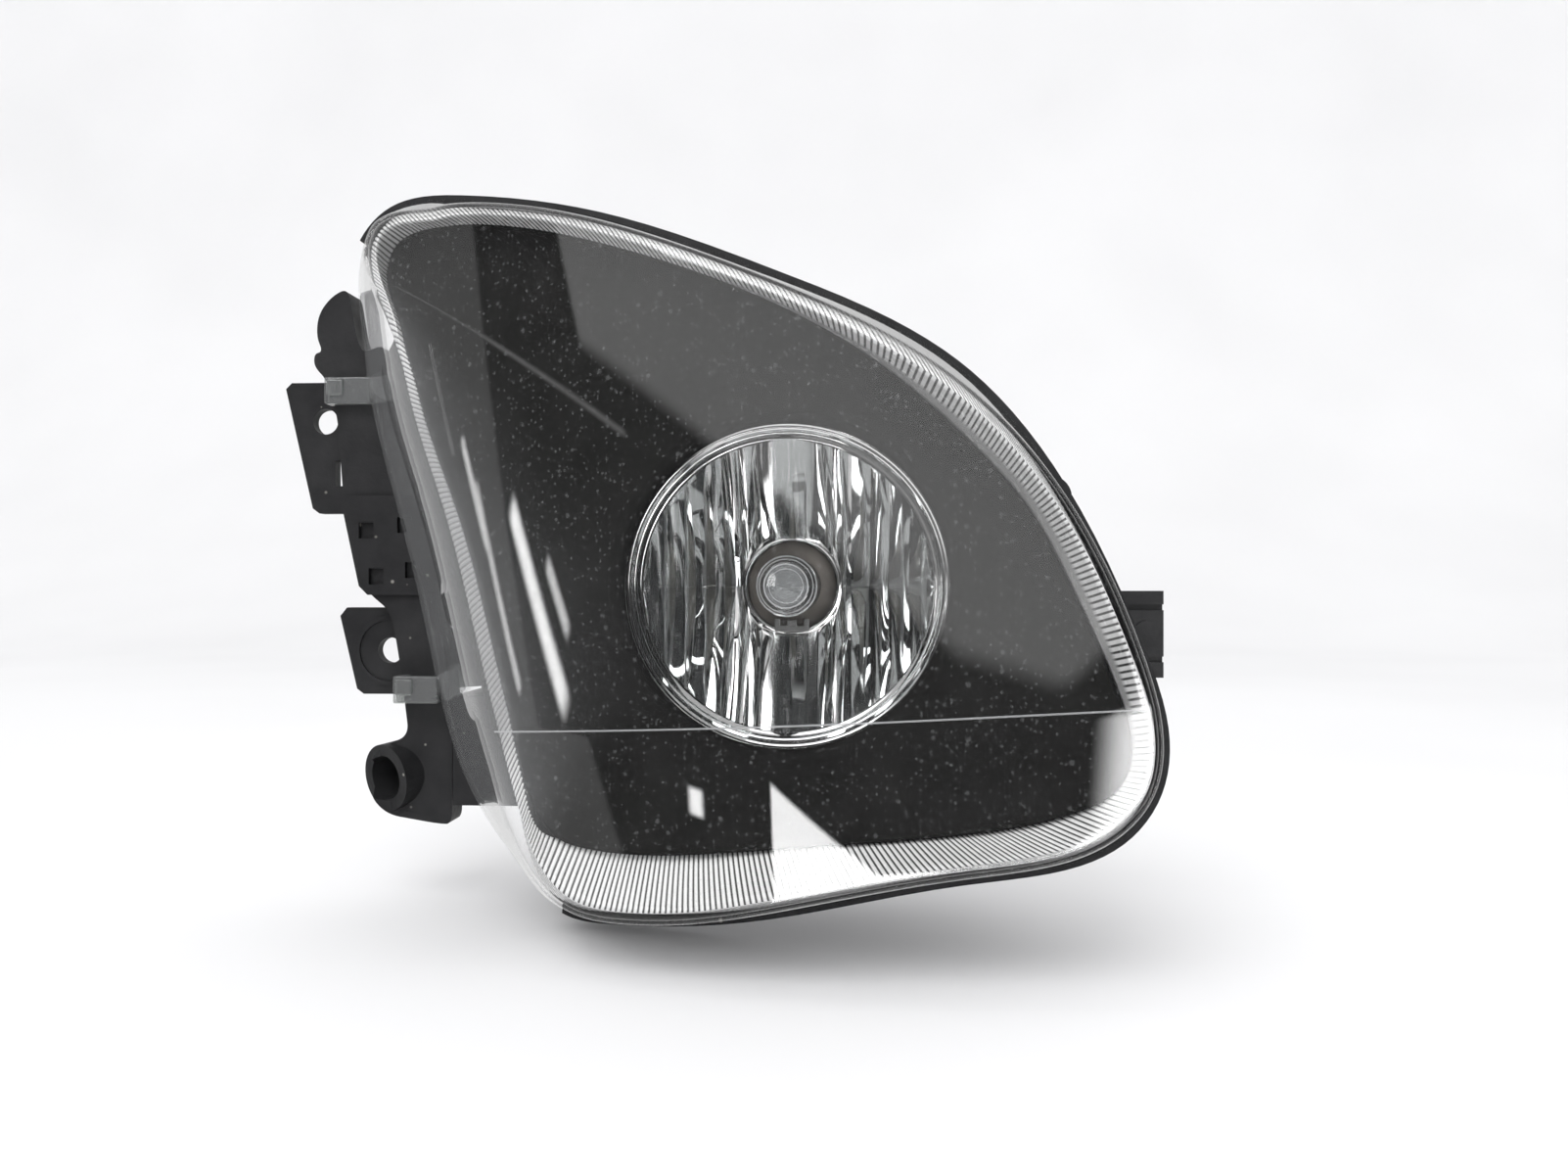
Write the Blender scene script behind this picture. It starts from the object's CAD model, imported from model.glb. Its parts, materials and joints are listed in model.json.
"""Looks of a corner fog light: clear lens, fluted edge, bezel, faceted reflector and housing."""

import json
import math

import bpy
import numpy as np
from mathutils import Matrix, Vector
from mathutils.bvhtree import BVHTree


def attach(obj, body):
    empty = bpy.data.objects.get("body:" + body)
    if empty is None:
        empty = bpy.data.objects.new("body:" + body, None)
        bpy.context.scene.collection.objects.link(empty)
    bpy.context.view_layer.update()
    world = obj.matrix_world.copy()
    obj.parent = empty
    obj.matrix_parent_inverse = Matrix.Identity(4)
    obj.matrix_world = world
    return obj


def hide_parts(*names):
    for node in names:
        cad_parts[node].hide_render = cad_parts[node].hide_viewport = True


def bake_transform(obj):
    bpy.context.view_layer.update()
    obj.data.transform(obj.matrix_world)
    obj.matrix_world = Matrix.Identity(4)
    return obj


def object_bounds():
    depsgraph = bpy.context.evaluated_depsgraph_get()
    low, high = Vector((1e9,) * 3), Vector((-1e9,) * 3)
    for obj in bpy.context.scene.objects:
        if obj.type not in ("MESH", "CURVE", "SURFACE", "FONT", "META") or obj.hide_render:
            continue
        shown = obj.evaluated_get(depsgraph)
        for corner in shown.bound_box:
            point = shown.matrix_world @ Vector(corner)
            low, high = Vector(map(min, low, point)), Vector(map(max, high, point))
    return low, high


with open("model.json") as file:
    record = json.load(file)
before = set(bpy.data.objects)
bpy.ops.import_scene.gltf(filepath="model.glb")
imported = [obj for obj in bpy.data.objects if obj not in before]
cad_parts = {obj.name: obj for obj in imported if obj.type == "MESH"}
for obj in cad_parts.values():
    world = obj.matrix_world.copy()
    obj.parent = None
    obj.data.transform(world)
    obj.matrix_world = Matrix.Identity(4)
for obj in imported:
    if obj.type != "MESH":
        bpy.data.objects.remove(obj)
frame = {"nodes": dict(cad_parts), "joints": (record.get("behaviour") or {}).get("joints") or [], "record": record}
cad_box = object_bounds()

MM = 0.001
JOINTS = {joint["name"]: joint for joint in frame["joints"]}
TILT_DEPTH = 16.0                       # the tilt axis lies this far behind the reflector's rim
OPTIC = Vector(JOINTS["reflector_tilt"]["pos_m"]) - Vector((0, TILT_DEPTH * MM, 0))

# Design surfaces of the lamp, in mm about the middle of the reflector's rim.
POLE = (-10.0, 3.0)                     # every outline is star-shaped about this (x, z)
LENS_FRONT = -26.0                      # foremost plane of the lens face
BEZEL_FRONT = -15.0                     # foremost plane of the bezel
RIM_Y, RIM_LEAN = 16.0, -0.2            # the housing's rim at x = 0, and its lean along x
CREASE_START = (-52.0, -27.0)           # a point (x, z) of the crease across the lens face
CREASE_SLOPE = 0.056
FACET_LEAN = 0.14                       # of the lower facet, back for each mm below the crease
DOME_X, DOME_Z = 30.0, -60.0            # the face curves back left of this x and above this z
DOME_BEND_X, DOME_BEND_Z = 0.00235, 0.0004
DISH_Y, DISH_LEAN = -3.0, 0.05          # the bezel at the reflector, and its lean along x and z
DISH_R, DISH_WIDTH = 34.0, 36.0         # where its dish starts, and how wide it is
BOWL_R = 30.0
BOWL_DEPTH = 27.0
BULB_HOLE_R = 9.8
APERTURE_R = 32.6                       # hole of the bezel
LENS_WALL = 0.8
BEZEL_WALL = 1.6
FLUTE_WALL = 0.3
AROUND = 720                            # samples round an outline

# The photograph's camera, in the same mm, and what it looks at.
CAMERA = (11.8, -225.0, 0.0)
CAMERA_AIM = (-0.47, 0.0, -0.37)
CAMERA_LENS = 27.06                     # mm, on a 36 mm wide sensor


def at(x, y, z):
    """Point of the lamp, from mm about the reflector's rim to the frame's metres."""
    return OPTIC + Vector((x, y, z)) * MM


def flange_y(x):
    """Plane of the housing's rim."""
    return RIM_Y + RIM_LEAN * x


def crease_z(x):
    """Crease across the lens face, above its lower facet."""
    return CREASE_START[1] + CREASE_SLOPE * (x - CREASE_START[0])


def dome(x, z):
    """How far the lens and the bezel curve back from their foremost plane."""
    wrap = np.maximum(0.0, DOME_X - x)
    rise = np.maximum(0.0, z - DOME_Z)
    return DOME_BEND_X * wrap ** 2 + DOME_BEND_Z * rise ** 2


def lens_y(x, z):
    """Outside of the lens face, with the lower facet below its crease."""
    return LENS_FRONT + dome(x, z) + FACET_LEAN * np.maximum(0.0, crease_z(x) - z)


def bezel_y(x, z):
    """Bezel face: follows the lens and dishes in to the reflector."""
    follow = BEZEL_FRONT + dome(x, z)
    lip = DISH_Y + DISH_LEAN * (x + z)
    reach = np.clip((np.hypot(x, z) - DISH_R) / DISH_WIDTH, 0.0, 1.0)
    return follow + (lip - follow) * (0.5 + 0.5 * np.cos(math.pi * reach))


def smoothstep(low, high, value):
    """0 below low, 1 above high, smooth between."""
    t = np.clip((value - low) / (high - low), 0.0, 1.0)
    return t * t * (3.0 - 2.0 * t)


# ---- mesh tools -------------------------------------------------------------------------------
def mesh_object(name, points, faces, smooth=True):
    """Object from points in lamp mm and faces."""
    mesh = bpy.data.meshes.new(name)
    places = np.array(points, float) * MM + np.array(OPTIC)
    mesh.from_pydata([tuple(p) for p in places], [], faces)
    mesh.update()
    if smooth:
        mesh.shade_smooth()
    piece = bpy.data.objects.new(name, mesh)
    bpy.context.scene.collection.objects.link(piece)
    return piece


def grid_faces(rows, columns, closed=False, start=0):
    """Quads of a grid of rows by columns; closed joins the last column to the first."""
    faces = []
    for r in range(rows - 1):
        for c in range(columns if closed else columns - 1):
            d = (c + 1) % columns
            faces.append((start + r * columns + c, start + r * columns + d,
                          start + (r + 1) * columns + d, start + (r + 1) * columns + c))
    return faces


def lathe(name, profile, around):
    """Closed ring turned about the optical axis, from a closed (radius, y) profile."""
    angles = np.linspace(0, 2 * math.pi, around, endpoint=False)
    points = [(r * math.cos(a), y, r * math.sin(a))
              for r, y in profile + profile[:1] for a in angles]
    return mesh_object(name, points, grid_faces(len(profile) + 1, around, True))


def node_tree(name):
    """Shape of a CAD node as a tree for ray casts, in frame metres."""
    mesh = frame["nodes"][name].data
    return BVHTree.FromPolygons([v.co for v in mesh.vertices], [p.vertices for p in mesh.polygons])


def smooth_ring(values, reach):
    """Periodic running average."""
    window = np.hanning(2 * reach + 3)[1:-1]
    window /= window.sum()
    wrapped = np.concatenate([values[-reach:], values, values[:reach]])
    return np.convolve(wrapped, window, "valid")


def between(start, full, fading, end):
    """1 where TURN is from full to fading, easing to 0 at start and end, in degrees."""
    return smoothstep(start, full, TURN) * (1 - smoothstep(fading, end, TURN))


def polar(radius):
    """The outline's x and z for a radius at each of ANGLES."""
    return POLE[0] + OUT_X * radius, POLE[1] + OUT_Z * radius


# Directions round POLE, from the right by the top; TURN is the same in degrees, cut at the foot.
FOOT_TURN = 245
ANGLES = np.linspace(0, 2 * math.pi, AROUND, endpoint=False)
OUT_X, OUT_Z = np.cos(ANGLES), np.sin(ANGLES)
TURN = np.degrees(ANGLES)
TURN = np.where(TURN > FOOT_TURN, TURN - 360, TURN)


def outline_radius(name, keep_going):
    """Distance from POLE at which a ray from the front stops meeting a node as keep_going asks."""
    tree = node_tree(name)
    inside_all, first_step, last_step, ahead_y = 44.0, 0.5, 0.02, -60.0
    radii = []
    for ux, uz in zip(OUT_X, OUT_Z):
        radius, step = inside_all, first_step
        while True:
            x, z = POLE[0] + ux * (radius + step), POLE[1] + uz * (radius + step)
            hit, normal, _, _ = tree.ray_cast(at(x, ahead_y, z), Vector((0, 1, 0)))
            if hit is None or not keep_going(x, (hit.y - OPTIC.y) / MM, normal):
                if step < last_step:
                    break
                step *= 0.5
                continue
            radius += step
        radii.append(radius)
    return np.array(radii)


FACE_NORMAL = 0.68                      # the lens folds where its normal's y part drops below this
AHEAD_OF_RIM = 0.6                      # and its skirt ends this far in front of the housing's rim
FOLD_R = smooth_ring(outline_radius("outer_lens", lambda x, y, n: abs(n.y) > FACE_NORMAL), 7)
EDGE_R = smooth_ring(
    outline_radius("outer_lens", lambda x, y, n: y < flange_y(x) - AHEAD_OF_RIM), 4)
BEZEL_R = smooth_ring(outline_radius("bezel", lambda x, y, n: True), 3)
# 1 along the left, where the clear skirt flares out past the bracket
LEFT = between(135.0, 150.0, 228.0, 240.0)
# away from there the lens widens over the housing's lip and ends in front of its rim
LIP_COVER, RIM_LIP = 0.4, 3.2
EDGE_R += LIP_COVER * (1 - LEFT)
# the fold's corner at the upper left is tighter than the CAD's
CORNER_REACH = 7.2
FOLD_R += CORNER_REACH * between(130.0, 137.5, 138.5, 145.0)


def full_bezel_radius():
    """Outline the bezel has on the left, where it reaches the skirt's inside beyond the fold."""
    clear_of_skirt, short_by = 1.6, 0.3
    low, high = FOLD_R.copy(), EDGE_R.copy()
    top, foot = lens_y(*polar(FOLD_R)), flange_y(polar(EDGE_R)[0])
    for _ in range(20):
        middle = (low + high) / 2
        skirt = top + (foot - top) * (middle - FOLD_R) / (EDGE_R - FOLD_R)
        inside = bezel_y(*polar(middle)) > skirt + clear_of_skirt
        low, high = np.where(inside, middle, low), np.where(inside, high, middle)
    return low - short_by


def hidden_bezel_radius():
    """Outline of the bezel that lies just behind the fold as the camera sees it."""
    short_of_fold, further = 2.6, 6.0
    turns, radii = [], []
    # beside the bracket the bezel reaches past the fold and closes the view to the floor
    sight = FOLD_R - short_of_fold + further * between(144.0, 152.0, 188.0, 196.0)
    for x, z in zip(*polar(sight)):
        ahead = np.array([x, lens_y(x, z), z]) - np.array(CAMERA)
        reach = 1.0
        for _ in range(8):
            spot = np.array(CAMERA) + ahead * reach
            reach += (bezel_y(spot[0], spot[2]) - spot[1]) / ahead[1]
        turns.append(math.atan2(spot[2] - POLE[1], spot[0] - POLE[0]) % (2 * math.pi))
        radii.append(math.hypot(spot[2] - POLE[1], spot[0] - POLE[0]))
    order = np.argsort(turns)
    return np.interp(ANGLES, np.array(turns)[order], np.array(radii)[order], period=2 * math.pi)


WIDER = between(140.0, 150.0, 212.0, 228.0)
BEZEL_R += (np.minimum(full_bezel_radius(), hidden_bezel_radius()) - BEZEL_R) * WIDER
BEZEL_R = smooth_ring(BEZEL_R, 4)


# ---- materials --------------------------------------------------------------------------------
def new_material(name):
    """Empty node material with its output node."""
    material = bpy.data.materials.new(name)
    material.use_nodes = True
    nodes = material.node_tree.nodes
    nodes.clear()
    output = nodes.new("ShaderNodeOutputMaterial")
    return material, nodes, material.node_tree.links, output


def maths(nodes, links, operation, a, b):
    """Math node on two numbers or outputs."""
    node = nodes.new("ShaderNodeMath")
    node.operation = operation
    for socket, value in zip(node.inputs, (a, b)):
        if isinstance(value, (int, float)):
            socket.default_value = value
        else:
            links.new(value, socket)
    return node.outputs["Value"]


def remap(nodes, links, value, low, high):
    """A 0..1 value stretched to run from low to high."""
    node = nodes.new("ShaderNodeMapRange")
    node.inputs["To Min"].default_value = low
    node.inputs["To Max"].default_value = high
    links.new(value, node.inputs["Value"])
    return node.outputs["Result"]


def speckle(nodes, links, scale, low, high, detail=2.0):
    """Noise in object space, cut to a 0..1 mask."""
    place = nodes.new("ShaderNodeTexCoord")
    texture = nodes.new("ShaderNodeTexNoise")
    texture.inputs["Scale"].default_value = scale
    texture.inputs["Detail"].default_value = detail
    links.new(place.outputs["Object"], texture.inputs["Vector"])
    ramp = nodes.new("ShaderNodeMapRange")
    ramp.inputs["From Min"].default_value = low
    ramp.inputs["From Max"].default_value = high
    links.new(texture.outputs["Fac"], ramp.inputs["Value"])
    return ramp.outputs["Result"]


def dots(nodes, links, scale, size):
    """Small round specks, one to a cell and of uneven size, as a 0..1 mask."""
    rarity, soft_edge = 2.5, 0.08
    place = nodes.new("ShaderNodeTexCoord")
    cells = nodes.new("ShaderNodeTexVoronoi")
    cells.inputs["Scale"].default_value = scale
    links.new(place.outputs["Object"], cells.inputs["Vector"])
    tone = nodes.new("ShaderNodeSeparateColor")
    links.new(cells.outputs["Color"], tone.inputs["Color"])
    rare = maths(nodes, links, "POWER", tone.outputs["Red"], rarity)
    reach = maths(nodes, links, "MULTIPLY", rare, size)
    inside = maths(nodes, links, "SUBTRACT", reach, cells.outputs["Distance"])
    edge = nodes.new("ShaderNodeMapRange")
    edge.inputs["From Max"].default_value = soft_edge
    links.new(inside, edge.inputs["Value"])
    return edge.outputs["Result"]


def mix_colour(nodes, links, mask, first, second):
    """First colour where the mask is 0, second where it is 1."""
    mix = nodes.new("ShaderNodeMix")
    mix.data_type = "RGBA"
    mix.inputs["A"].default_value = (*first, 1)
    mix.inputs["B"].default_value = (*second, 1)
    links.new(mask, mix.inputs["Factor"])
    return mix.outputs["Result"]


def solid_material(name, base, worn, rough, metallic=0.0, grain=900.0, bump=0.15, dust=None,
                   gloss=0.5):
    """Opaque finish: two tones, uneven roughness and, unless bump is 0, a fine grain."""
    material, nodes, links, output = new_material(name)
    shader = nodes.new("ShaderNodeBsdfPrincipled")
    shader.inputs["Metallic"].default_value = metallic
    shader.inputs["Specular IOR Level"].default_value = gloss
    tone = mix_colour(nodes, links, speckle(nodes, links, 90.0, 0.35, 0.7, 5.0), base, worn)
    if dust:
        mix = nodes.new("ShaderNodeMix")
        mix.data_type = "RGBA"
        mix.inputs["B"].default_value = (*dust, 1)
        links.new(dots(nodes, links, 260.0, 0.16), mix.inputs["Factor"])
        links.new(tone, mix.inputs["A"])
        tone = mix.outputs["Result"]
    links.new(tone, shader.inputs["Base Color"])
    uneven = remap(nodes, links, speckle(nodes, links, 260.0, 0.3, 0.7, 3.0),
                   rough - 0.06, rough + 0.08)
    links.new(uneven, shader.inputs["Roughness"])
    if bump:
        relief = nodes.new("ShaderNodeBump")
        relief.inputs["Strength"].default_value = bump
        relief.inputs["Distance"].default_value = 0.2 * MM
        links.new(speckle(nodes, links, grain, 0.2, 0.8, 3.0), relief.inputs["Height"])
        links.new(relief.outputs["Normal"], shader.inputs["Normal"])
    links.new(shader.outputs["BSDF"], output.inputs["Surface"])
    return material


PLASTIC_IOR = 1.5


def clear_material(name, tint, rough, haze, specks):
    """Thin clear plastic or glass: see-through, glossy towards grazing, with haze and dust."""
    material, nodes, links, output = new_material(name)
    through = nodes.new("ShaderNodeBsdfTransparent")
    through.inputs["Color"].default_value = (*tint, 1)
    gloss = nodes.new("ShaderNodeBsdfGlossy")
    gloss.inputs["Roughness"].default_value = rough
    facing = nodes.new("ShaderNodeLayerWeight")
    facing.inputs["Blend"].default_value = 0.5
    graze = maths(nodes, links, "POWER", facing.outputs["Facing"], 5.0)
    head_on = ((PLASTIC_IOR - 1) / (PLASTIC_IOR + 1)) ** 2
    glass = nodes.new("ShaderNodeMixShader")
    links.new(remap(nodes, links, graze, head_on, 1.0), glass.inputs["Fac"])
    links.new(through.outputs["BSDF"], glass.inputs[1])
    links.new(gloss.outputs["BSDF"], glass.inputs[2])
    film = nodes.new("ShaderNodeBsdfDiffuse")
    film.inputs["Color"].default_value = (0.62, 0.63, 0.64, 1)
    dust = maths(nodes, links, "MAXIMUM", dots(nodes, links, 520.0, 0.30),
                 dots(nodes, links, 1200.0, 0.42))
    veil = nodes.new("ShaderNodeAttribute")
    veil.attribute_name = "veil"
    cover = maths(nodes, links, "ADD", remap(nodes, links, dust, haze, haze + specks),
                  veil.outputs["Fac"])
    dusty = nodes.new("ShaderNodeMixShader")
    links.new(cover, dusty.inputs["Fac"])
    links.new(glass.outputs["Shader"], dusty.inputs[1])
    links.new(film.outputs["BSDF"], dusty.inputs[2])
    links.new(dusty.outputs["Shader"], output.inputs["Surface"])
    return material


def chrome_material(name, rough, light=0.66, dark=0.58):
    """Vapour-deposited mirror with faint clouding."""
    material, nodes, links, output = new_material(name)
    shader = nodes.new("ShaderNodeBsdfPrincipled")
    shader.inputs["Metallic"].default_value = 1.0
    tone = mix_colour(nodes, links, speckle(nodes, links, 60.0, 0.3, 0.7, 3.0),
                      (light, light, light), (dark, dark, dark))
    links.new(tone, shader.inputs["Base Color"])
    uneven = remap(nodes, links, speckle(nodes, links, 300.0, 0.55, 0.8, 4.0), rough, rough + 0.05)
    links.new(uneven, shader.inputs["Roughness"])
    links.new(shader.outputs["BSDF"], output.inputs["Surface"])
    return material


def flute_material(name):
    """Whitish moulded ribs: bright crests and dark gaps, from the mesh's groove attribute."""
    material, nodes, links, output = new_material(name)
    groove = nodes.new("ShaderNodeAttribute")
    groove.attribute_name = "groove"
    tone = mix_colour(nodes, links, groove.outputs["Fac"], (0.90, 0.90, 0.90), (0.07, 0.07, 0.07))
    shader = nodes.new("ShaderNodeBsdfPrincipled")
    links.new(tone, shader.inputs["Base Color"])
    uneven = remap(nodes, links, speckle(nodes, links, 300.0, 0.3, 0.7, 3.0), 0.15, 0.3)
    links.new(uneven, shader.inputs["Roughness"])
    links.new(shader.outputs["BSDF"], output.inputs["Surface"])
    return material


LOOKS = {
    "clear_lens": clear_material("clear_lens", (0.99, 0.99, 0.99), 0.01, 0.004, 0.06),
    "clip_clear": clear_material("clip_clear", (0.72, 0.73, 0.72), 0.05, 0.12, 0.06),
    "crease": clear_material("crease", (0.95, 0.95, 0.95), 0.05, 0.34, 0.2),
    "bright_edge": clear_material("bright_edge", (0.95, 0.95, 0.95), 0.05, 0.62, 0.1),
    "frost": clear_material("frost", (0.9, 0.9, 0.9), 0.2, 0.24, 0.1),
    "bulb_clear": clear_material("bulb_clear", (0.93, 0.94, 0.94), 0.01, 0.02, 0.1),
    "chrome_coat": chrome_material("chrome_coat", 0.03),
    "lip_chrome": chrome_material("lip_chrome", 0.05, 0.34, 0.28),
    "housing_black": solid_material("housing_black", (0.011, 0.011, 0.012), (0.022, 0.022, 0.023),
                                    0.5, bump=0.25, dust=(0.25, 0.24, 0.22), gloss=0.16),
    "bezel_grey": solid_material("bezel_grey", (0.009, 0.009, 0.0085), (0.014, 0.014, 0.0135),
                                 0.6, bump=0.0, gloss=0.0),
    "sealant": solid_material("sealant", (0.02, 0.02, 0.02), (0.04, 0.04, 0.04), 0.7),
    "retainer": solid_material("retainer", (0.10, 0.10, 0.10), (0.16, 0.16, 0.16), 0.35,
                               metallic=0.6),
    "steel": solid_material("steel", (0.5, 0.5, 0.5), (0.38, 0.38, 0.37), 0.32, metallic=1.0),
    "collar_metal": solid_material("collar_metal", (0.12, 0.11, 0.10), (0.08, 0.075, 0.07), 0.38,
                                   metallic=1.0),
    "tungsten": solid_material("tungsten", (0.3, 0.29, 0.27), (0.2, 0.19, 0.18), 0.4,
                               metallic=1.0),
    "nylon": solid_material("nylon", (0.72, 0.70, 0.64), (0.6, 0.58, 0.52), 0.45),
    "rubber_black": solid_material("rubber_black", (0.013, 0.013, 0.013), (0.03, 0.03, 0.03), 0.62,
                                   bump=0.3, grain=700.0, dust=(0.2, 0.2, 0.19)),
    "bulb_black": solid_material("bulb_black", (0.018, 0.018, 0.019), (0.03, 0.03, 0.03), 0.4,
                                 dust=(0.2, 0.2, 0.19)),
}
FLUTES = flute_material("lens_flutes")


def dress(piece, material):
    """Give the piece this one material."""
    piece.data.materials.clear()
    piece.data.materials.append(material)


# ---- lens -------------------------------------------------------------------------------------
def edge_ring():
    """Free edge of the lens, on the housing's rim."""
    x, z = polar(EDGE_R)
    return np.stack([x, flange_y(x) - RIM_LIP * (1 - LEFT), z], 1)


def lens_rings():
    """Rings of the lens from its middle out over the fold and back to the skirt's free edge."""
    fold_veil, skirt_veil, veil_reach = 0.11, 0.06, 9.0
    face_steps, fold_steps, skirt_steps = 56, 10, 8
    bend, left_bend, share_of_skirt = 1.3, 6.0, 0.42
    fold_x, fold_z = polar(FOLD_R)
    fold = np.stack([fold_x, lens_y(fold_x, fold_z), fold_z], 1)
    edge = edge_ring()
    skirt = np.linalg.norm(edge - fold, axis=1)
    soft = smooth_ring(np.minimum(bend + left_bend * LEFT, share_of_skirt * skirt), 14)
    rings = []
    for share in np.linspace(0.02, 1.0, face_steps):
        radius = share * (FOLD_R - soft)
        x, z = polar(radius)
        rings.append(np.stack([x, lens_y(x, z), z], 1))
    before = rings[-1]
    after = fold + (edge - fold) * (soft / skirt)[:, None]
    veils = []
    for ring in rings:
        short = FOLD_R - np.hypot(ring[:, 0] - POLE[0], ring[:, 2] - POLE[1])
        veils.append(fold_veil * LEFT * np.exp(-short / veil_reach))
    for t in np.linspace(0, 1, fold_steps)[1:]:
        rings.append((1 - t) ** 2 * before + 2 * t * (1 - t) * fold + t ** 2 * after)
        veils.append((fold_veil + (skirt_veil - fold_veil) * t) * LEFT)
    for t in np.linspace(0, 1, skirt_steps)[1:]:
        rings.append(after + (edge - after) * t)
        veils.append(skirt_veil * LEFT)
    return rings, veils, (before + 2 * fold + after) / 4, before


def build_lens():
    """Clear shell of the lens; returns the rings that the flutes follow."""
    rings, veils, fold, before = lens_rings()
    points = [tuple(p) for ring in rings for p in ring]
    faces = grid_faces(len(rings), AROUND, True)
    points.append((POLE[0], float(lens_y(POLE[0], POLE[1])), POLE[1]))
    middle = len(points) - 1
    faces += [(middle, (c + 1) % AROUND, c) for c in range(AROUND)]
    lens = mesh_object("lens_shell", points, faces)
    veil = lens.data.attributes.new("veil", "FLOAT", "POINT")
    veil.data.foreach_set("value", np.append(np.concatenate(veils), 0.0).astype(np.float32))
    wall = lens.modifiers.new("wall", "SOLIDIFY")
    wall.thickness = LENS_WALL * MM
    wall.offset = -1.0
    wall.use_quality_normals = True
    dress(lens, LOOKS["clear_lens"])
    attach(lens, "housing")
    return fold, before


FOLD, BEFORE_FOLD = build_lens()


def build_crease():
    """Bright line along the crease between the lens face and its lower facet."""
    half_wide, proud, sunk, short_of_fold = 0.17, 0.10, 0.02, 1.5
    furthest, search_step = 110, 0.25
    points, ends = [], []
    for side in (-1, 1):
        x = POLE[0] + side * np.arange(0, furthest, search_step)
        z = crease_z(x)
        turn = np.arctan2(z - POLE[1], x - POLE[0]) % (2 * math.pi)
        room = np.interp(turn, np.append(ANGLES, 2 * math.pi), np.append(FOLD_R, FOLD_R[0]))
        ends.append(x[np.hypot(z - POLE[1], x - POLE[0]) < room - short_of_fold][-1])
    stations = np.linspace(min(ends), max(ends), 90)
    for x in stations:
        z = crease_z(x)
        y = float(lens_y(x, z))
        points += [(x, y - sunk, z + half_wide), (x, y - proud, z), (x, y - sunk, z - half_wide),
                   (x, y + proud, z)]
    crease = mesh_object("lens_crease", points, grid_faces(len(stations), 4, True))
    dress(crease, LOOKS["crease"])
    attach(crease, "housing")


build_crease()


# Lean of the ribs, as their drift back along the edge for each mm inwards, by angle round POLE.
LEAN_ANGLES = [-115, -90, -45, -20, 0, 45, 70, 100, 140, 180, 230, 245]
LEANS = [0.15, 0.28, 0.5, 1.0, 1.0, 1.2, 0.7, 0.5, 0.1, 0.6, 0.3, 0.15]


def build_flute_band():
    """Ribbed band round the lens edge: up the skirt, over the fold and in to the bezel's edge."""
    pitch, depth, per_rib = 1.15, 0.3, 8
    crest_half, crest_fade = 0.28, 0.08
    skirt_rows, face_rows, plain_rows = 6, 6, 8
    plain_shade, dull_shade, dull_most = 0.62, 0.85, 0.8
    over_bezel, raised_left = 0.3, 0.97
    edge = edge_ring()
    bezel_x, bezel_z = polar(BEZEL_R - over_bezel)
    inner = np.stack([bezel_x, bezel_y(bezel_x, bezel_z) + over_bezel, bezel_z], 1)
    ahead = np.roll(FOLD, -4, 0) - np.roll(FOLD, 4, 0)
    inwards = np.stack([-ahead[:, 2], 0 * ahead[:, 0], ahead[:, 0]], 1)
    inwards /= np.linalg.norm(inwards, axis=1)[:, None]
    # the band lies just inside the lens, and on the left only along the fold
    fold = FOLD + inwards * 0.7 + np.array([0, 1.2, 0])
    foot = edge + inwards * 0.9 + np.array([0, -0.2, 0])
    foot = foot + (fold - foot) * (LEFT * raised_left)[:, None]
    near = (FOLD + BEFORE_FOLD) / 2 + inwards * 0.3 + np.array([0, 1.4, 0])
    inner = inner + (near - inner) * LEFT[:, None]
    # a plain strip inside the ribs at the upper right, and duller ribs down the left
    strip = between(-35.0, -12.0, 88.0, 104.0)
    dull = dull_most * between(144.0, 158.0, 212.0, 226.0)
    length = np.linalg.norm(np.roll(FOLD, -1, 0) - FOLD, axis=1)
    along = np.concatenate([[0], np.cumsum(length)])
    ribs = round(along[-1] / pitch)
    samples = ribs * per_rib
    where = np.arange(samples) * along[-1] / samples

    def resample(values):
        """Values round the outline, at the ribs' even steps along it."""
        return np.interp(where, along, np.append(values, values[0]))

    lean = np.interp(TURN, LEAN_ANGLES, LEANS)
    lean = resample(smooth_ring(lean, 12))
    strip, dull = resample(strip), resample(dull)
    foot, fold, inner = (np.stack([resample(line[:, i]) for i in range(3)], 1)
                         for line in (foot, fold, inner))
    phase = (where * ribs / along[-1]) % 1.0
    wave = 1 - np.abs(2 * phase - 1)
    cut = np.clip((np.abs(phase - 0.5) - crest_half) / crest_fade, 0, 1)
    cut = cut + (dull_shade - cut) * dull
    points, groove = [], []
    drift = 0.0
    rows = []
    for t in np.linspace(0, 1, skirt_rows):
        rows.append(foot + (fold - foot) * t)
    for t in np.linspace(0, 1, face_rows + 1)[1:]:
        rows.append(fold + (inner - fold) * t)
    before = rows[0]
    for number, row in enumerate(rows):
        moved = row - before
        moved[:, 1] = 0
        drift = drift + np.linalg.norm(moved, axis=1) * lean
        before = row
        plain = strip * (number > plain_rows)
        place = np.stack([np.interp(where - drift, where, row[:, i], period=along[-1])
                          for i in range(3)], 1)
        place[:, 1] += depth * (1 - wave) * (1 - plain)
        points += [tuple(p) for p in place]
        groove += list(cut + (plain_shade - cut) * plain)
    band = mesh_object("lens_flute_band", points, grid_faces(len(rows), samples, True))
    shade = band.data.attributes.new("groove", "FLOAT", "POINT")
    shade.data.foreach_set("value", np.array(groove, np.float32))
    wall = band.modifiers.new("wall", "SOLIDIFY")
    wall.thickness = FLUTE_WALL * MM
    dress(band, FLUTES)
    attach(band, "housing")


build_flute_band()


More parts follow.
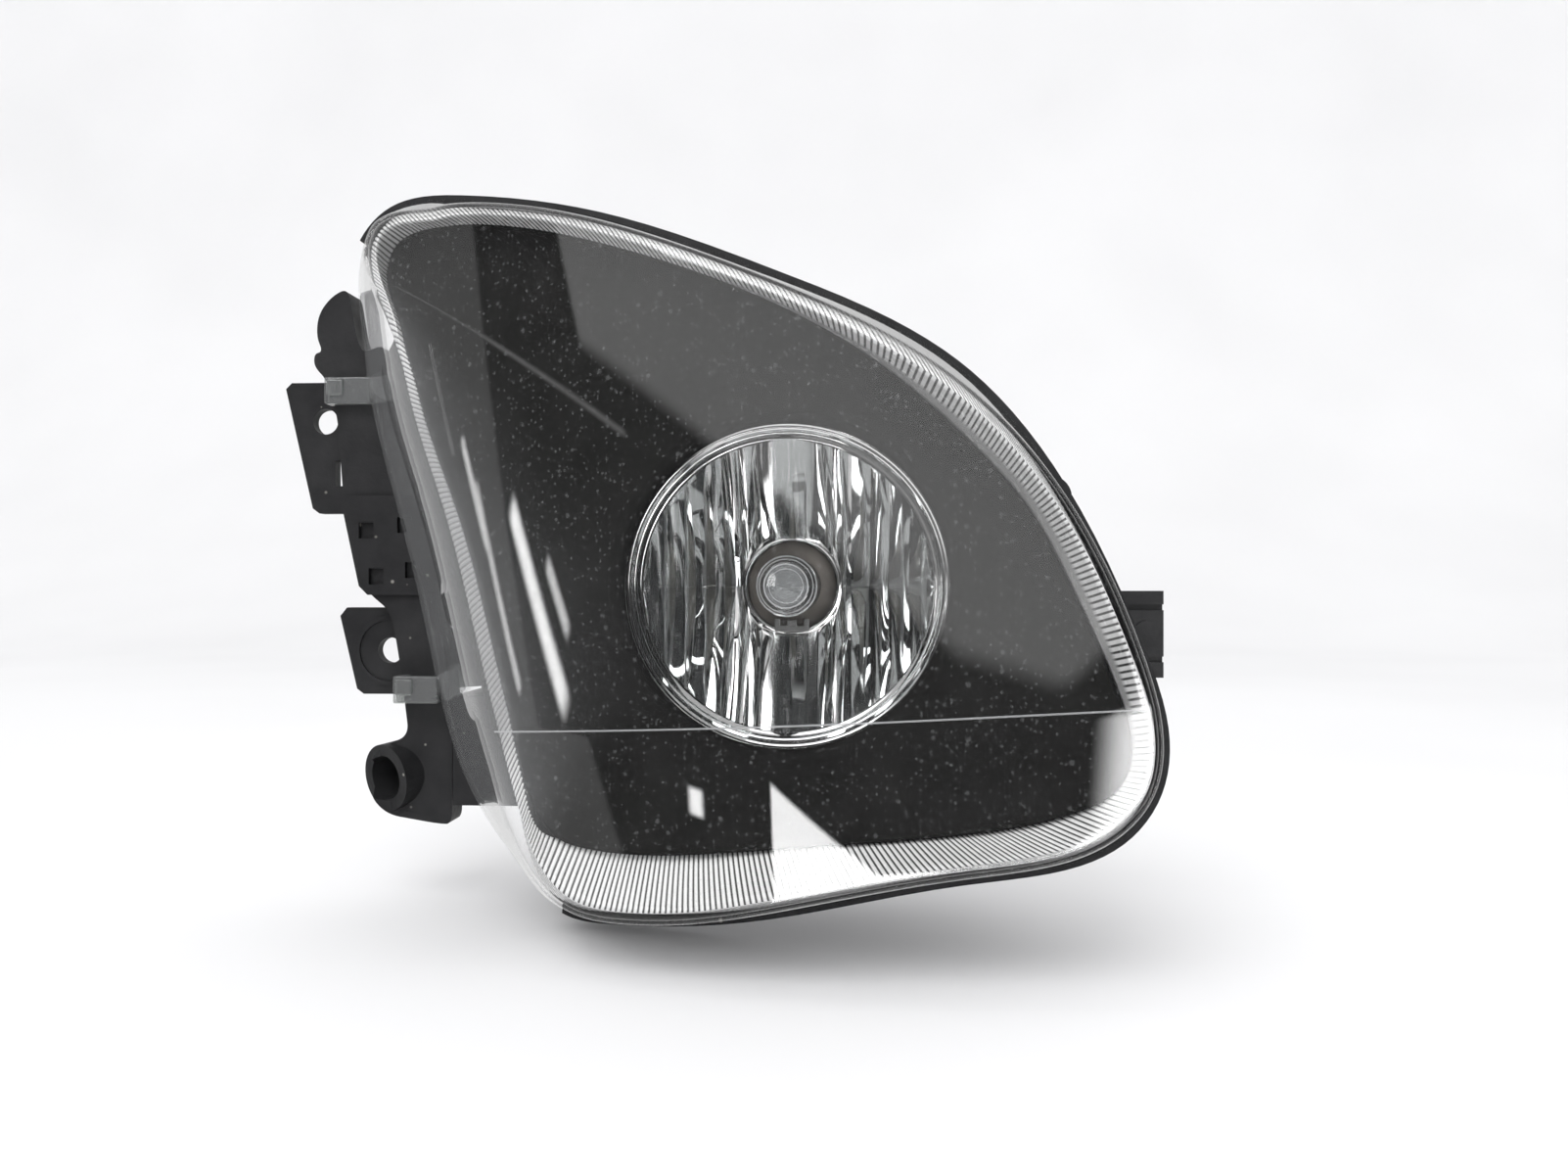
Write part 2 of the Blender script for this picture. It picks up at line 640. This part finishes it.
# ---- bezel ------------------------------------------------------------------------------------
def build_bezel():
    """Dished cover from its outer edge in to the reflector's aperture."""
    steps, crowding = 44, 1.2
    lip_depths, lip_taper, taper_depth = (0.25, 0.8, 3.2), 0.006, 0.8
    rings = []
    outer_x, outer_z = polar(BEZEL_R)
    angle = np.arctan2(outer_z, outer_x)
    inner_x, inner_z = APERTURE_R * np.cos(angle), APERTURE_R * np.sin(angle)
    for i in range(steps):
        t = (i / (steps - 1)) ** crowding
        x, z = inner_x + (outer_x - inner_x) * t, inner_z + (outer_z - inner_z) * t
        rings.append(np.stack([x, bezel_y(x, z), z], 1))
    lead = rings[0]
    for depth in lip_depths:
        ring = lead.copy()
        ring[:, 1] += depth
        shrink = 1 - lip_taper * min(depth, taper_depth)
        ring[:, 0] *= shrink
        ring[:, 2] *= shrink
        rings.insert(0, ring)
    points = [tuple(p) for ring in rings for p in ring]
    bezel = mesh_object("bezel_cover", points, grid_faces(len(rings), AROUND, True))
    wall = bezel.modifiers.new("wall", "SOLIDIFY")
    wall.thickness = BEZEL_WALL * MM
    wall.offset = -1.0
    dress(bezel, LOOKS["bezel_grey"])
    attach(bezel, "housing")


build_bezel()


# ---- reflector --------------------------------------------------------------------------------
FACET_R = 28.4
FACET_EDGES = [-FACET_R, -23.0, -19.4, -15.8, -11.9, -8.8, -6.2,
               5.6, 8.6, 12.4, 16.2, 20.0, 23.8, FACET_R]
FACET_BULGES = [0.05, 0.10, 0.05, 0.30, 0.45, 0.12, 0.16, 0.14, 0.45, 0.12, 0.40, 0.10, 0.05]


def bowl_y(x, z):
    """Inside of the reflector's bowl."""
    return BOWL_DEPTH * (1 - (x * x + z * z) / BOWL_R ** 2)


def build_facets():
    """Upright facets: each strip is flat across, or bulges a little, and follows the bowl down."""
    across, down = 7, 40
    hole_r, ahead_of_bowl = BULB_HOLE_R + 0.2, 0.15
    points, faces = [], []
    for left, right, bulge in zip(FACET_EDGES, FACET_EDGES[1:], FACET_BULGES):
        for half in (1, -1):
            start = len(points)
            for r in range(across):
                t = r / (across - 1)
                x = left + (right - left) * t
                reach = math.sqrt(max(0.0, FACET_R ** 2 - x * x))
                hole = math.sqrt(max(0.0, hole_r ** 2 - x * x))
                for c in range(down):
                    z = half * (hole + (reach - hole) * c / (down - 1))
                    chord = bowl_y(left, z) + (bowl_y(right, z) - bowl_y(left, z)) * t
                    y = min(chord, bowl_y(x, z)) - bulge * 4 * t * (1 - t)
                    points.append((x, y - ahead_of_bowl, z))
            faces += grid_faces(across, down, False, start)
    facets = mesh_object("reflector_facets", points, faces)
    dress(facets, LOOKS["chrome_coat"])
    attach(facets, "reflector")


build_facets()


def build_lip():
    """Stepped lip of the reflector and the rolled edge of its bulb hole."""
    lip = lathe("reflector_lip", [(28.1, 3.2), (28.2, 1.9), (28.35, 1.75), (29.1, 1.75),
                                  (29.2, 0.9), (29.35, 0.75), (30.1, 0.75), (30.2, -0.1),
                                  (30.35, -0.25), (30.75, -0.25), (30.85, -0.9), (31.0, -1.05),
                                  (31.3, -1.05), (31.4, -0.9), (31.4, 0.6), (30.6, 1.2),
                                  (29.2, 3.2)], 240)
    rim = lathe("bulb_hole_rim", [(9.3, 23.4), (9.45, 22.9), (9.8, 22.7), (10.2, 22.7),
                                  (10.3, 23.5), (9.3, 24.4)], 120)
    for piece, look in ((lip, "lip_chrome"), (rim, "chrome_coat")):
        dress(piece, LOOKS[look])
        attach(piece, "reflector")


build_lip()


# ---- bulb -------------------------------------------------------------------------------------
def build_bulb():
    """Capsule with a stepped, domed tip, and the clip that shows below it in the bulb hole."""
    outside = [(0.02, -1.4), (1.2, -1.45), (2.6, -1.6), (3.6, -1.9), (4.3, -2.0), (4.75, -1.75),
               (5.0, -1.3), (5.35, -0.9), (5.7, -0.1), (5.92, 1.0), (6.0, 2.4), (6.0, 33.0)]
    inside = [(5.1, 33.0), (5.1, 2.6), (4.9, 1.0), (4.3, 0.2), (3.2, -0.2), (1.6, -0.4),
              (0.02, -0.45)]
    capsule = lathe("bulb_capsule", outside + inside, 96)
    dress(capsule, LOOKS["bulb_clear"])
    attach(capsule, "bulb")
    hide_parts("bulb_glass")
    tip = lathe("bulb_tip", [(0.02, -1.0), (2.2, -1.15), (4.1, -1.5), (4.1, -1.3), (2.2, -0.95),
                             (0.02, -0.8)], 96)
    dress(tip, LOOKS["frost"])
    pieces = [tip]
    for number, (r, y, wide) in enumerate([(5.9, 0.9, 0.30), (5.2, -1.2, 0.16), (4.3, -2.05, 0.26),
                                           (3.3, -1.9, 0.10)], 1):
        ring = lathe(f"bulb_ring_{number}", [(r - wide, y), (r - wide / 2, y - 0.1), (r, y),
                                             (r - wide / 2, y + 0.1)], 96)
        dress(ring, LOOKS["bright_edge"])
        pieces.append(ring)
    for piece in pieces:
        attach(piece, "bulb")


build_bulb()


# ---- rubber boot ------------------------------------------------------------------------------
def build_boot():
    """Bellows from the housing's collar to the reflector's neck; it bends with the aim."""
    outside = [(32.0, 55.2), (32.0, 58.6), (27.9, 58.6), (27.0, 56.0), (26.2, 51.5), (25.2, 48.6),
               (24.0, 47.4), (22.9, 47.5), (21.9, 48.8), (21.2, 52.0), (20.4, 55.2), (20.0, 55.4),
               (20.0, 36.2)]
    inside = [(18.4, 36.0), (18.4, 57.0), (21.4, 57.0), (22.2, 53.0), (22.9, 50.2), (23.6, 49.2),
              (24.3, 49.2), (25.0, 50.5), (25.7, 54.0), (26.4, 58.6), (27.2, 59.8), (33.2, 59.8),
              (33.4, 59.2), (33.4, 55.2)]
    boot = lathe("boot_bellows", outside + inside, 144)
    dress(boot, LOOKS["rubber_black"])
    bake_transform(boot)
    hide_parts("rubber_boot")


build_boot()


# ---- clips ------------------------------------------------------------------------------------
def rounded_block(name, low, high, radius):
    """Box with rounded edges."""
    corners = [(x, y, z) for x in (low[0], high[0]) for y in (low[1], high[1])
               for z in (low[2], high[2])]
    sides = [(0, 1, 3, 2), (4, 6, 7, 5), (0, 4, 5, 1), (2, 3, 7, 6), (0, 2, 6, 4), (1, 5, 7, 3)]
    piece = mesh_object(name, corners, sides, False)
    edge = piece.modifiers.new("edge", "BEVEL")
    edge.width = radius * MM
    edge.segments = 3
    return piece


def build_retainer():
    """Small spring clip that shows below the bulb in its hole."""
    for part, low, high in [("bar", (-3.6, 21.9, -9.5), (3.6, 22.5, -8.3)),
                            ("left", (-3.6, 21.9, -8.4), (-2.5, 22.5, -6.9)),
                            ("right", (2.5, 21.9, -8.4), (3.6, 22.5, -6.9)),
                            ("tongue", (-1.0, 21.7, -8.4), (1.0, 22.3, -7.2))]:
        clip = rounded_block(f"bulb_retainer_{part}", low, high, 0.15)
        dress(clip, LOOKS["retainer"])
        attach(clip, "reflector")


build_retainer()


def build_tabs():
    """Clear clips on the skirt's free edge, hooked over the bracket rail."""
    for number, (x, edge_x, z) in enumerate([(-106, -95.5, 44), (-89, -79, -23)], 1):
        y = flange_y(edge_x)
        for part, low, high in [("plate", (x, y - 0.9, z - 3), (edge_x, y + 1.1, z + 3)),
                                ("leg", (x, y + 1.1, z - 3), (x + 1.6, 37.9, z + 3)),
                                ("pad", (x + 0.8, y - 1.7, z - 1.2), (x + 4.5, y - 0.9, z + 2.4))]:
            tab = rounded_block(f"lens_clip_{number}_{part}", low, high, 0.35)
            dress(tab, LOOKS["clip_clear"])
            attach(tab, "housing")


build_tabs()


# ---- carried-over CAD nodes -------------------------------------------------------------------
SLOT_OF = {part["node"]: part["material_slot"] for part in frame["record"]["subparts"]}
for node_name, node in frame["nodes"].items():
    dress(node, LOOKS[SLOT_OF[node_name]])

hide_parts("outer_lens")
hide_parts("bezel")


# ---- stage ------------------------------------------------------------------------------------
def build_stage():
    """Pale floor that sweeps up far behind the lamp."""
    floor_z = cad_box[0][2] - 0.002
    reach, bend_y, bend_r, bend_steps = 4.0, 1.0, 1.0, 24
    line = [(-reach, floor_z)]
    for i in range(bend_steps + 1):
        turn = math.pi / 2 * i / bend_steps
        line.append((bend_y + bend_r * math.sin(turn), floor_z + bend_r * (1 - math.cos(turn))))
    line.append((bend_y + bend_r, reach))
    mesh = bpy.data.meshes.new("floor")
    mesh.from_pydata([(x, y, z) for y, z in line for x in (-reach, reach)], [],
                     grid_faces(len(line), 2))
    mesh.shade_smooth()
    floor = bpy.data.objects.new("floor", mesh)
    bpy.context.scene.collection.objects.link(floor)
    material, nodes, links, output = new_material("pale_floor")
    shader = nodes.new("ShaderNodeBsdfPrincipled")
    shader.inputs["Roughness"].default_value = 0.7
    tone = mix_colour(nodes, links, speckle(nodes, links, 3.0, 0.3, 0.7), (0.84, 0.84, 0.85),
                      (0.80, 0.80, 0.81))
    links.new(tone, shader.inputs["Base Color"])
    links.new(shader.outputs["BSDF"], output.inputs["Surface"])
    dress(floor, material)
    floor.visible_glossy = False


# What the lamp mirrors, in directions u (right) and v (up) for each unit towards -Y.
STUDIO_LIGHT = 1.2
TABLE_LIGHT = 0.9
CEILING_LIGHT, WALL_LIGHT, ROOM_LIGHT, WINDOW_LIGHT = 1.35, 0.4, 0.05, 14.0
CEILING_SIDES = [(0.41, 1.0, 0.06, 0.02), (-1.27, 1.0, -0.246, 0.02), (1.31, 1.0, -0.985, 0.02)]
WALL_SIDE = (-1.3, -1.0, 1.87, 0.03)
TABLE_EDGE = (0.03, 0.05)               # y of the direction at its edge, and its softness
LEAST_AHEAD = 0.02                      # u and v are for each unit towards -Y, or at least for this
WINDOW_SIDES = [(1.0, 0.0, -0.375, 0.006), (-0.36, -1.0, 0.582, 0.006), (0.0, 1.0, -0.8, 0.02)]
# strip lights: start, end, width, softness, power
STRIPS = [((-2.23, 0.534), (-1.83, 0.23), 0.03, 0.010, 9.0),
          ((-1.60, 0.293), (-1.17, -0.075), 0.05, 0.016, 14.0),
          ((-1.305, 0.165), (-1.163, 0.045), 0.03, 0.010, 8.0),
          ((-2.0, 0.39), (-1.485, -0.065), 0.028, 0.010, 8.0),
          ((-3.04, 1.0), (-2.35, 0.51), 0.012, 0.008, 3.0),
          ((-4.8, 1.78), (-0.9, 0.34), 0.008, 0.007, 1.5),
          ((-0.64, -0.505), (-0.595, -0.505), 0.04, 0.006, 14.0),
          ((0.5, -0.62), (0.5, 0.0), 0.5, 0.02, 12.0)]


def build_world():
    """White studio; what mirrors see is a white table behind and a dim room with windows ahead."""
    world = bpy.data.worlds.new("studio")
    bpy.context.scene.world = world
    world.use_nodes = True
    tree = world.node_tree
    nodes, links = tree.nodes, tree.links

    def times(a, b):
        return maths(nodes, links, "MULTIPLY", a, b)

    def plus(a, b):
        return maths(nodes, links, "ADD", a, b)

    def larger(a, b):
        return maths(nodes, links, "MAXIMUM", a, b)

    def step(value, edge, soft):
        """0 below the edge and 1 above it, over a soft band."""
        node = nodes.new("ShaderNodeMapRange")
        node.interpolation_type = "SMOOTHSTEP"
        node.inputs["From Min"].default_value = edge - soft
        node.inputs["From Max"].default_value = edge + soft
        links.new(value, node.inputs["Value"])
        return node.outputs["Result"]

    def beyond(a, b, edge, soft):
        """1 where a*u + b*v is past the edge."""
        return step(plus(times(u, a), times(v, b)), edge, soft)

    def patch(sides):
        """1 inside all the given sides."""
        mask = beyond(*sides[0])
        for side in sides[1:]:
            mask = times(mask, beyond(*side))
        return mask

    def strip(start, end, width, soft, power):
        """Soft-edged strip light between two directions."""
        length = math.dist(start, end)
        along = ((end[0] - start[0]) / length, (end[1] - start[1]) / length)
        first = start[0] * along[0] + start[1] * along[1]
        side = start[1] * along[0] - start[0] * along[1]
        mask = patch([(along[0], along[1], first, soft * 2),
                      (-along[0], -along[1], -first - length, soft * 2),
                      (-along[1], along[0], side - width / 2, soft),
                      (along[1], -along[0], -side - width / 2, soft)])
        return times(mask, power)

    place = nodes.new("ShaderNodeTexCoord")
    split = nodes.new("ShaderNodeSeparateXYZ")
    links.new(place.outputs["Generated"], split.inputs["Vector"])
    ahead = larger(times(split.outputs["Y"], -1.0), LEAST_AHEAD)
    u = maths(nodes, links, "DIVIDE", split.outputs["X"], ahead)
    v = maths(nodes, links, "DIVIDE", split.outputs["Z"], ahead)

    wall = times(beyond(*WALL_SIDE), WALL_LIGHT)
    ceiling = larger(patch(CEILING_SIDES), wall)
    room = plus(times(ceiling, CEILING_LIGHT), ROOM_LIGHT)
    room = larger(room, times(patch(WINDOW_SIDES), WINDOW_LIGHT))
    for line in STRIPS:
        room = larger(room, strip(*line))
    table = step(split.outputs["Y"], *TABLE_EDGE)
    mirror = plus(times(room, maths(nodes, links, "SUBTRACT", 1.0, table)),
                  times(table, TABLE_LIGHT))
    # reflections see the room; light that a dull surface has scattered sees the plain studio
    path = nodes.new("ShaderNodeLightPath")
    direct = maths(nodes, links, "LESS_THAN", path.outputs["Diffuse Depth"], 0.5)
    glossy = times(path.outputs["Is Glossy Ray"], direct)
    plain = maths(nodes, links, "SUBTRACT", 1.0, glossy)
    strength = plus(times(mirror, glossy), times(plain, STUDIO_LIGHT))
    background = nodes["Background"]
    background.inputs["Color"].default_value = (1.0, 1.0, 1.0, 1)
    links.new(strength, background.inputs["Strength"])


def area_light(name, place, aim, size, power):
    """Rectangular light turned to its aim."""
    data = bpy.data.lights.new(name, "AREA")
    data.shape = "RECTANGLE"
    data.size, data.size_y = size
    data.energy = power
    lamp = bpy.data.objects.new(name, data)
    lamp.location = place
    lamp.rotation_euler = (aim - place).to_track_quat("-Z", "Y").to_euler()
    bpy.context.scene.collection.objects.link(lamp)


def build_camera():
    """The photograph's camera."""
    data = bpy.data.cameras.new("camera")
    data.sensor_width = 36.0
    data.lens = CAMERA_LENS
    data.clip_start = 0.01
    camera = bpy.data.objects.new("camera", data)
    camera.location = at(*CAMERA)
    aim = at(*CAMERA_AIM)
    camera.rotation_euler = (aim - camera.location).to_track_quat("-Z", "Y").to_euler()
    bpy.context.scene.collection.objects.link(camera)
    bpy.context.scene.camera = camera


bpy.context.scene.view_settings.view_transform = "Standard"
build_stage()
build_world()
area_light("key", at(-150, -500, 500), at(0, 0, 0), (0.5, 0.35), 2.5)
build_camera()
